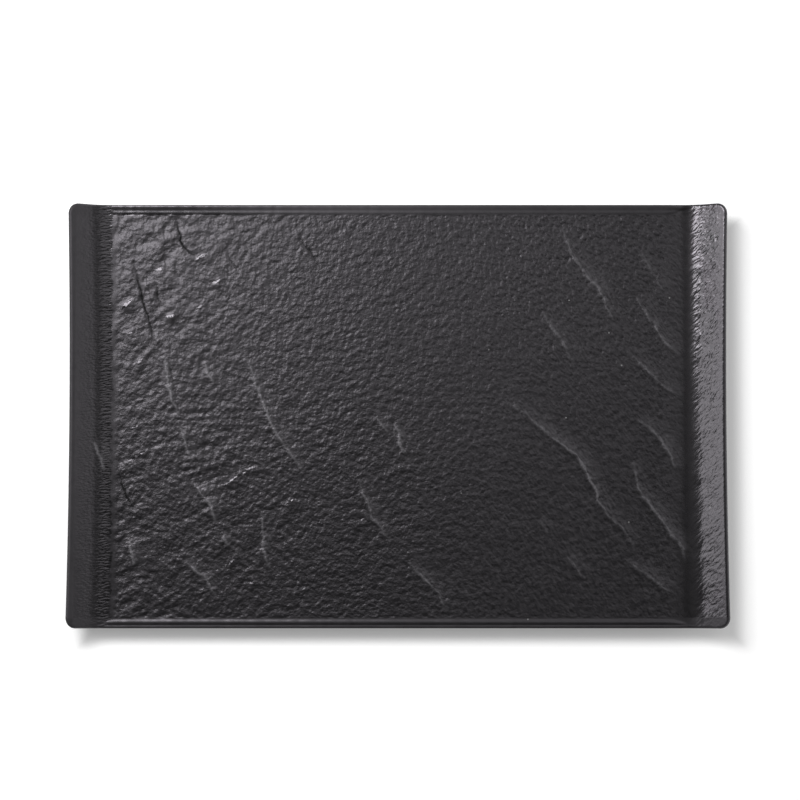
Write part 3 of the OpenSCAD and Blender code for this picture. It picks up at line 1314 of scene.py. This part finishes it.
class SlateGround:
    """What the slate glaze is mixed from: where it lies on the plate, its grain and its creases.

    The places where a part of the face begins and ends are in millimetres from the plate's middle.
    """

    LIP_LINE = (85.2, 86.2)
    FAR_LIP_END = (112.0, 124.0)
    FLOOR = ((-123.0, -121.3), (114.0, 128.0))
    LEVEL = ((-121.8, -118.0), (112.0, 125.0))
    LEFT = (-105.0, -10.0)
    RIGHT = (-30.0, 70.0)
    NEAR = (-70.0, 50.0)
    FOOT = ((111.0, 117.0), (121.0, 126.0))
    WALL = (121.0, 127.0)
    WRINKLED = ((123.5, 129.0), (134.0, 140.0))
    RIBBED = ((-139.0, -126.0), (-123.0, -121.0))
    RIM = (136.2, 137.4)
    FRAY_REACH = 2.4 * MM
    VEIN_WIDTH = 0.55
    BANK_WIDTH = 4.0
    BANK_START = (-0.35, 0.1)
    CRACK_WIDTH = 0.50
    LINE_FRAYS = ((1.0, 2.0, 0.6), (3.5, 1.0, 0.7))
    RIDGE_FRAYS = ((1.6, 1.0, 0.4),)
    RIDGE_FRONT = (-0.9, 0.3)
    RIDGE_BACK = (0.3, 6.0)
    FACE_FRONT = (-1.1, -0.7)
    FACE_BACK = (0.1, 0.5)
    FACE_EDGE = (0.15, 0.6)
    SPECK_SPACING = 45.0 * MM
    SPECK_EDGE = (0.0055, 0.009)

    def __init__(self, sheet: NodeSheet) -> None:
        """Reads the plate's places and draws the patterns.

        Args:
            sheet: The finish's nodes.
        """
        places = sheet.object_places()
        along, across, _ = sheet.axes(places)
        fray = sheet.strands(places, turn=0.0, stretch=1.8, size=2.2 * MM, detail=1.5)
        far_edge = across.smooth_mm(*self.LIP_LINE)
        self.near_lip = (-across).smooth_mm(*self.LIP_LINE)
        self.far_lip = far_edge * (1.0 - along.smooth_mm(*self.FAR_LIP_END))
        off_lips = 1.0 - self.near_lip - far_edge
        self.floor = (along + fray * self.FRAY_REACH).band(*self.FLOOR) * off_lips
        self.level = along.band(*self.LEVEL) * off_lips
        self.left = 1.0 - along.smooth_mm(*self.LEFT)
        self.right = along.smooth_mm(*self.RIGHT)
        self.near = (-across).smooth_mm(*self.NEAR)
        self.foot = along.band(*self.FOOT)
        self.wall = along.smooth_mm(*self.WALL)
        self.wrinkled = along.band(*self.WRINKLED)
        self.ribbed = along.band(*self.RIBBED)
        self.rim = (-along).smooth_mm(*self.RIM)
        self.cloud = sheet.noise(places, size=14.0 * MM, detail=3.0)
        self.pebble = sheet.noise(places, size=2.5 * MM, detail=0.5)
        self.grain = sheet.noise(places, size=2.4 * MM, detail=2.0)
        self.streak = sheet.strands(places, turn=-52.0, stretch=1.6, size=1.4 * MM, detail=1.0)
        self.fibre = sheet.strands(places, turn=-57.0, stretch=4.0, size=0.8 * MM, detail=1.5)
        self.wrinkle = sheet.strands(places, turn=40.0, stretch=2.5, size=1.3 * MM, detail=1.0)
        self.rib = sheet.strands(places, turn=8.0, stretch=4.0, size=0.8 * MM, detail=1.0)
        vein, strength = self.crease(sheet, CreaseKind.VEIN, self.LINE_FRAYS)
        # The bank is the vein's gentle side: it is raised a little and also given a paler colour, a painted
        # sheen.
        bank = (vein * (-1.0 / self.BANK_WIDTH)).math("EXPONENT")
        self.vein = self.line(vein, self.VEIN_WIDTH) * strength
        self.bank = bank * vein.smooth(*self.BANK_START) * strength
        crack, strength = self.crease(sheet, CreaseKind.CRACK, self.LINE_FRAYS)
        self.crack = self.line(crack, self.CRACK_WIDTH) * strength
        ridge, strength = self.crease(sheet, CreaseKind.RIDGE, self.RIDGE_FRAYS)
        face = ridge.smooth(*self.FACE_FRONT) * (1.0 - ridge.smooth(*self.FACE_BACK)) * strength
        self.facet = ridge.smooth(*self.RIDGE_FRONT) * (1.0 - ridge.smooth(*self.RIDGE_BACK)) * strength
        self.glint = face.smooth(*self.FACE_EDGE)
        cells = {"Vector": places, "Scale": 1.0 / self.SPECK_SPACING}
        middle = sheet.add("ShaderNodeTexVoronoi", {"voronoi_dimensions": "2D"}, cells)
        self.speck = (1.0 - middle.smooth(*self.SPECK_EDGE)) * self.right

    @staticmethod
    def crease(
        sheet: NodeSheet, kind: CreaseKind, frays: Sequence[tuple[float, float, float]]
    ) -> tuple[Value, Value]:
        """Reads the nearest crease of a kind from the piece.

        Args:
            sheet: The finish's nodes.
            kind: The kind of crease.
            frays: The size, detail and reach of each noise that frays its line, in millimetres.

        Returns:
            The distance from its frayed line in millimetres, and its strength.
        """
        offset, strength = (
            sheet.add("ShaderNodeAttribute", {"attribute_name": name}, output="Fac")
            for name in kind.attributes
        )
        places = sheet.object_places()
        for size, detail, reach in frays:
            offset = offset + sheet.noise(places, size * MM, detail) * reach
        return offset, strength

    @staticmethod
    def line(offset: Value, width: float) -> Value:
        """Line of a width, 1 where the distance from it is 0 and fading to both sides."""
        return (offset * offset * (-1.0 / width**2)).math("EXPONENT")


@dataclass(frozen=True)
class Finish:
    """A finish whose material is named after its slot."""

    slot: str

    def shader(self, sheet: NodeSheet) -> Value:
        """Mixes the finish's shader, each finish in its own way."""
        raise NotImplementedError

    def build(self) -> bpy.types.Material:
        """Makes the material.

        Returns:
            The finished material.
        """
        material, sheet = NodeSheet.of_material(f"{self.slot}_finish")
        sheet.add("ShaderNodeOutputMaterial", {}, {"Surface": self.shader(sheet)})
        return material


@dataclass(frozen=True)
class SlateGlaze(Finish):
    """Satin black glaze over the slate-like relief, thin and pale along the veins, with a painted sheen on
    each vein's gentle side and a painted shade along the cracks.

    Heights are in millimetres, and tones are shares of the way from the dark colour to the light one.
    """

    slot: str = "slate_glaze"
    dark: Colour = (0.0012, 0.0013, 0.0012)
    light: Colour = (0.0145, 0.0140, 0.0147)
    vein: Colour = (0.102, 0.099, 0.105)
    speck: Colour = (0.22, 0.22, 0.22)
    crack_shade: Colour = (0.009, 0.009, 0.009)
    gloss: Colour = (0.97, 0.92, 1.0)
    ior: float = 1.6
    floor_roughness: float = 0.415
    end_roughness: float = 0.12
    wall_roughness: float = 0.24
    facet_roughness: float = 0.22
    near_lip_roughness: float = 0.34
    far_lip_roughness: float = 0.44
    rim_roughness: float = 0.58
    cloud_roughness: float = 0.02
    near_shine: float = 0.04
    left_lip_shine: float = 0.75
    pebble_height: float = 0.125
    grain_height: float = 0.27
    streak_height: float = 0.17
    wrinkle_height: float = 0.17
    rib_height: float = 0.09
    left_grain_loss: float = 0.05
    right_grain_loss: float = 0.14
    far_grain_share: float = 0.90
    near_grain_gain: float = 0.22
    cloud_grain_gain: float = 0.35
    near_streak_loss: float = 0.12
    near_wrinkle_loss: float = 0.08
    vein_height: float = 0.05
    bank_height: float = 0.06
    crack_depth: float = 0.12
    facet_height: float = 0.20
    base_tone: float = 0.13
    right_tone: float = 0.34
    near_painted_shade: float = 0.12
    end_tone: float = 0.60
    end_grain_tone: float = 0.4
    foot_tone: float = 0.5
    cloud_tone: float = 0.25
    grain_tone: float = 0.25
    fibre_tone: float = 1.4
    streak_tone: float = 1.5
    vein_wear: float = 0.85
    right_wear_loss: float = 0.15
    vein_grain_wear: float = 0.9
    bank_sheen: float = 0.24
    bank_fibre_sheen: float = 0.5
    bank_grain_sheen: float = 0.6
    crack_shade_cover: float = 0.9

    def height(self, ground: SlateGround) -> Value:
        """Draws the fine relief: the grain is flatter on the right, streaks and wrinkles on the near side.

        Args:
            ground: The places and patterns of the glaze.

        Returns:
            The relief's height.
        """
        grain = ground.pebble * ground.left * self.pebble_height
        size = self.grain_height - self.left_grain_loss * ground.left - self.right_grain_loss * ground.right
        grain = grain + ground.grain * size
        gain = self.far_grain_share + self.near_grain_gain * ground.near
        grain = grain * (gain + self.cloud_grain_gain * ground.cloud)
        streaks = self.streak_height - self.near_streak_loss * ground.near
        grain = grain + ground.streak * ground.right * streaks
        wrinkles = self.wrinkle_height - self.near_wrinkle_loss * ground.near
        wrinkles = ground.wrinkle * ground.wrinkled * wrinkles
        creases = ground.vein * self.vein_height + ground.bank * self.bank_height
        creases = creases - ground.crack * self.crack_depth + ground.facet * self.facet_height
        return ground.level * grain + wrinkles + ground.rib * ground.ribbed * self.rib_height + creases

    def colour(self, sheet: NodeSheet, ground: SlateGround) -> Value:
        """Mixes the colour: nearly black, with painted shade towards the near side on the right, paler where
        the veins have worn it, with a painted sheen on their gentle sides, and in a few specks.

        Args:
            sheet: The finish's nodes.
            ground: The places and patterns of the glaze.

        Returns:
            The colour.
        """
        # Painted shade: the right side's tone is made darker towards the near side, where the light falls
        # off.
        right = self.right_tone - self.near_painted_shade * ground.near + self.fibre_tone * ground.fibre
        right = ground.right * (right + self.streak_tone * ground.streak)
        tone = ground.cloud * self.cloud_tone + ground.grain * self.grain_tone + right * ground.floor
        tone = tone + (1.0 - ground.floor) * (self.end_tone + self.end_grain_tone * ground.grain)
        tone = tone + ground.foot * self.foot_tone + self.base_tone
        pale_veins_and_sheen = self.vein_wear - self.right_wear_loss * ground.right + self.vein_grain_wear * ground.grain
        # Painted sheen: the bank beside each pale vein line is coloured paler on the vein's gentle side.
        bank = self.bank_sheen + self.bank_fibre_sheen * ground.fibre + self.bank_grain_sheen * ground.grain
        pale_veins_and_sheen = ground.vein * pale_veins_and_sheen + ground.bank * bank
        colour = sheet.mix_colour(tone.smooth(0.0, 1.0), self.dark, self.light)
        colour = sheet.mix_colour(pale_veins_and_sheen, colour, self.vein)
        return sheet.mix_colour(ground.speck, colour, self.speck)

    def roughness(self, ground: SlateGround) -> Value:
        """Mixes the roughness: satin on the floor, duller on the left rim, glossier up the ends.

        Args:
            ground: The places and patterns of the glaze.

        Returns:
            The roughness.
        """
        ends = self.end_roughness
        floor = self.floor_roughness - ends + ground.cloud * self.cloud_roughness
        floor = floor - ground.near * ground.near * self.near_shine
        facets = ground.glint * (self.facet_roughness - self.floor_roughness)
        lips = ground.near_lip * (self.near_lip_roughness - ends)
        far_lip = (self.far_lip_roughness - ends) * (1.0 - self.left_lip_shine * ground.left)
        lips = lips + ground.far_lip * far_lip
        rims = ground.rim * (self.rim_roughness - ends)
        walls = ground.wall * (1.0 - ground.floor) * (self.wall_roughness - ends)
        return ground.floor * floor + facets + lips + rims + walls + ends

    def shader(self, sheet: NodeSheet) -> Value:
        """Mixes the glaze's shader with a dark dull shader that paints shade along its cracks.

        Args:
            sheet: The finish's nodes.

        Returns:
            The shader.
        """
        ground = SlateGround(sheet)
        constants = {"IOR": self.ior, "Specular Tint": (*self.gloss, 1.0)}
        colour, roughness = self.colour(sheet, ground), self.roughness(ground)
        glaze = sheet.principled(colour, roughness, self.height(ground), constants)
        # Painted shade: a dark dull shader is laid along the cracks.
        crack_shade = sheet.add("ShaderNodeBsdfDiffuse", {}, {"Color": (*self.crack_shade, 1.0)})
        crack_shade_share = (ground.crack * self.crack_shade_cover).smooth(0.0, 1.0)
        return sheet.add("ShaderNodeMixShader", {}, {0: crack_shade_share, 1: glaze, 2: crack_shade})


@dataclass(frozen=True)
class UndersideGlaze(Finish):
    """Satin black glaze under the plate, nearly smooth."""

    slot: str = "underside_glaze"
    dark: Colour = (0.0145, 0.0142, 0.0148)
    pale: Colour = (0.0200, 0.0192, 0.0205)
    roughness: float = 0.36
    roughness_swing: float = 0.04
    peel_height: float = 0.02
    tooth_height: float = 0.004
    ior: float = 1.5

    def shader(self, sheet: NodeSheet) -> Value:
        """Mixes the shader.

        Args:
            sheet: The finish's nodes.

        Returns:
            The shader.
        """
        places = sheet.object_places()
        cloud = sheet.noise(places, size=18.0 * MM, detail=3.0)
        peel = sheet.noise(places, size=2.4 * MM, detail=1.0)
        tooth = sheet.noise(places, size=0.6 * MM, detail=1.0)
        colour = sheet.mix_colour((cloud * 0.5 + 0.5).smooth(0.0, 1.0), self.dark, self.pale)
        roughness = self.roughness + cloud * self.roughness_swing
        height = peel * self.peel_height + tooth * self.tooth_height
        return sheet.principled(colour, roughness, height, {"IOR": self.ior})


@dataclass(frozen=True)
class BareCeramic(Finish):
    """Unglazed dark stoneware, with fine specks."""

    slot: str = "bare_ceramic"
    dark: Colour = (0.040, 0.036, 0.033)
    pale: Colour = (0.085, 0.077, 0.070)
    roughness: float = 0.82
    roughness_swing: float = 0.08
    grit_height: float = 0.03

    def shader(self, sheet: NodeSheet) -> Value:
        """Mixes the shader.

        Args:
            sheet: The finish's nodes.

        Returns:
            The shader.
        """
        places = sheet.object_places()
        grit = sheet.noise(places, size=0.8 * MM, detail=3.0, roughness=0.6)
        cloud = sheet.noise(places, size=9.0 * MM, detail=2.0)
        tone = (grit * 0.5 + cloud * 0.3 + 0.5).smooth(0.1, 0.9)
        colour = sheet.mix_colour(tone, self.dark, self.pale)
        roughness = self.roughness + grit * self.roughness_swing
        return sheet.principled(colour, roughness, grit * self.grit_height, {})


class LampReach(Enum):
    """What a lamp lights."""

    ALL = "all"
    GLOSS = "gloss"


@dataclass(frozen=True)
class SoftBox:
    """A rectangular studio lamp that faces the plate.

    Its angles are in degrees, its distance and sizes in metres and its power in watts.
    """

    name: str
    azimuth: float
    elevation: float
    distance: float
    width: float
    height: float
    power: float
    reach: LampReach = LampReach.ALL

    def build(self, target: Vector) -> None:
        """Hangs the lamp.

        Args:
            target: The point that it faces.
        """
        azimuth, elevation = math.radians(self.azimuth), math.radians(self.elevation)
        level = math.cos(elevation)
        way = Vector((level * math.cos(azimuth), level * math.sin(azimuth), math.sin(elevation)))
        Bench.clear_selection()
        bpy.ops.object.light_add(type="AREA", location=target + self.distance * way)
        lamp = bpy.context.object
        lamp.name = self.name
        lamp.rotation_euler = way.to_track_quat("Z", "Y").to_euler()
        lamp.data.shape = "RECTANGLE"
        lamp.data.size = self.width
        lamp.data.size_y = self.height
        lamp.data.energy = self.power
        lamp.visible_diffuse = self.reach is LampReach.ALL


@dataclass(frozen=True)
class Studio:
    """The camera, floor, lamps and sky.

    The floor glows less within the shade, a rectangle under the plate that is shifted towards its shadow: the
    dimmer glow there is a painted shadow along the plate's near and right sides, and the full glow up to its
    far and left edges paints over their shade. Each level of the sky is a height, from 0 at the horizon to 1
    overhead, and a brightness.
    """

    camera_distance: float = 1.2
    camera_tilt: float = math.radians(3.7)
    frame_width: float = 339.8 * MM
    sensor_width: float = 36.0
    aim: tuple[float, float, float] = (0.9 * MM, 6.5 * MM, 10.0 * MM)
    floor_size: float = 6.0
    floor_colour: Colour = (0.80, 0.80, 0.80)
    floor_glow: float = 0.225
    far_glow: float = 0.36
    shade_middle: Pair = (6.0 * MM, -6.0 * MM)
    shade_half: Pair = (136.0 * MM, 86.25 * MM)
    shade_fade: float = 8.0 * MM
    sky_levels: tuple[Pair, ...] = ((0.0, 1.0), (0.46, 0.93), (0.72, 0.27), (0.90, 0.10), (1.0, 0.10))
    low_left: float = 0.28
    low_near: float = 0.30
    low_far: float = 0.53
    overhead_far: float = 0.24
    overhead_right: float = 1.20
    overhead_left: float = 0.14
    low_rise: Pair = (-0.1, 0.5)
    low_turn: Pair = (-0.05, 0.055)
    overhead_rise: Pair = (0.0, 0.10)
    overhead_turn: Pair = (0.0, 0.17)
    overhead_fall: Pair = (0.06, 0.30)
    overhead_start: Pair = (0.70, 0.92)
    lamps: tuple[SoftBox, ...] = (
        SoftBox("key_softbox", 131.0, 52.5, 0.57, 0.24, 0.20, 2.1),
        SoftBox("left_card", 167.0, 37.0, 0.70, 0.46, 0.28, 1.5, LampReach.GLOSS),
    )

    def build_camera(self) -> None:
        """Sets the camera up over the plate, tilted a little from its near side."""
        tilt = self.camera_tilt
        way = Vector((0.0, -math.sin(tilt), math.cos(tilt)))
        Bench.clear_selection()
        location = Vector(self.aim) + self.camera_distance * way
        bpy.ops.object.camera_add(location=location, rotation=(tilt, 0.0, 0.0))
        camera = bpy.context.object
        camera.name = "camera"
        camera.data.sensor_width = self.sensor_width
        camera.data.lens = self.sensor_width * self.camera_distance / self.frame_width
        bpy.context.scene.camera = camera

    def build_floor(self) -> None:
        """Lays a pale floor that shows white away from the plate and keeps the plate's shadow, deepened there
        by a painted shadow where the floor's glow is dimmer.
        """
        Bench.clear_selection()
        bpy.ops.mesh.primitive_plane_add(size=self.floor_size)
        floor = bpy.context.object
        floor.name = "floor"
        material, sheet = NodeSheet.of_material("pale_floor")
        seen, *others = (
            sheet.add("ShaderNodeLightPath", output=name)
            for name in ("Is Camera Ray", "Is Glossy Ray", "Is Transmission Ray")
        )
        for ray in others:
            seen = seen.math("MAXIMUM", ray)
        sides = zip(sheet.axes(sheet.object_places()), self.shade_middle, self.shade_half)
        past_end, past_side = ((place - middle).math("ABSOLUTE") - half for place, middle, half in sides)
        # Painted shadow: the glow is dimmer within the shade rectangle on the plate's near and right sides.
        away = past_end.math("MAXIMUM", past_side).smooth(0.0, self.shade_fade)
        paint = sheet.add("ShaderNodeBsdfDiffuse", {}, {"Color": (*self.floor_colour, 1.0)})
        strength = seen * (self.floor_glow + away * self.far_glow)
        glow = sheet.add("ShaderNodeEmission", {}, {"Strength": strength})
        surface = sheet.add("ShaderNodeAddShader", {}, {0: paint, 1: glow})
        sheet.add("ShaderNodeOutputMaterial", {}, {"Surface": surface})
        floor.data.materials.append(material)

    def build_sky(self) -> None:
        """Makes a studio sky, bright low and overhead on the far right and dim overhead on the near side."""
        world = bpy.data.worlds.new("studio_sky")
        world.use_nodes = True
        sheet = NodeSheet(world.node_tree)
        right, far, up = sheet.axes(sheet.add("ShaderNodeTexCoord", output="Generated"))
        stops = [(place, (level, level, level)) for place, level in self.sky_levels]
        low = sheet.add("ShaderNodeValToRGB", {"stops": stops}, {0: up})
        turned = far.smooth(*self.low_turn) * self.low_far + self.low_near
        low_strength = right.smooth(*self.low_rise) * turned + self.low_left
        far_side = self.overhead_far + self.overhead_right * right.smooth(*self.overhead_rise)
        far_side = far.smooth(*self.overhead_turn) * far_side
        left_side = (-right).smooth(*self.overhead_fall) * self.overhead_left
        overhead = (far_side + left_side) * up.smooth(*self.overhead_start)
        backgrounds = [
            sheet.add("ShaderNodeBackground", {}, {"Color": low, "Strength": low_strength}),
            sheet.add("ShaderNodeBackground", {}, {"Strength": overhead}),
        ]
        both = sheet.add("ShaderNodeAddShader", {}, dict(enumerate(backgrounds)))
        sheet.add("ShaderNodeOutputWorld", {}, {"Surface": both})
        bpy.context.scene.world = world

    def build(self) -> None:
        """Sets up the whole studio."""
        self.build_camera()
        self.build_floor()
        self.build_sky()
        for lamp in self.lamps:
            lamp.build(Vector((0.0, 0.0, self.aim[2])))
        bpy.context.scene.view_settings.view_transform = "Standard"


def plate_shape() -> PlateShape:
    """Reads the plate's main sizes from the frame.

    Returns:
        The plate's shape.
    """
    low, high = cad_box
    panel_low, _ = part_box("underside_panel_glaze")
    return PlateShape(
        length=high[0] - low[0],
        depth=high[1] - low[1],
        foot_height=panel_low[2],
    )


def main() -> None:
    """Builds the plate and its studio."""
    logging.basicConfig(level=logging.INFO)
    shape = plate_shape()
    _, panel_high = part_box("underside_panel_glaze")
    Studio().build()
    face = ServingFace(shape, SlateRelief())
    face.dress(face.build(), SlateGlaze())
    back = PlateBack(shape, panel_high[0] + shape.foot_width, panel_high[1] + shape.foot_width)
    back.dress(back.build(), UndersideGlaze(), BareCeramic())


if __name__ == "__main__":
    main()
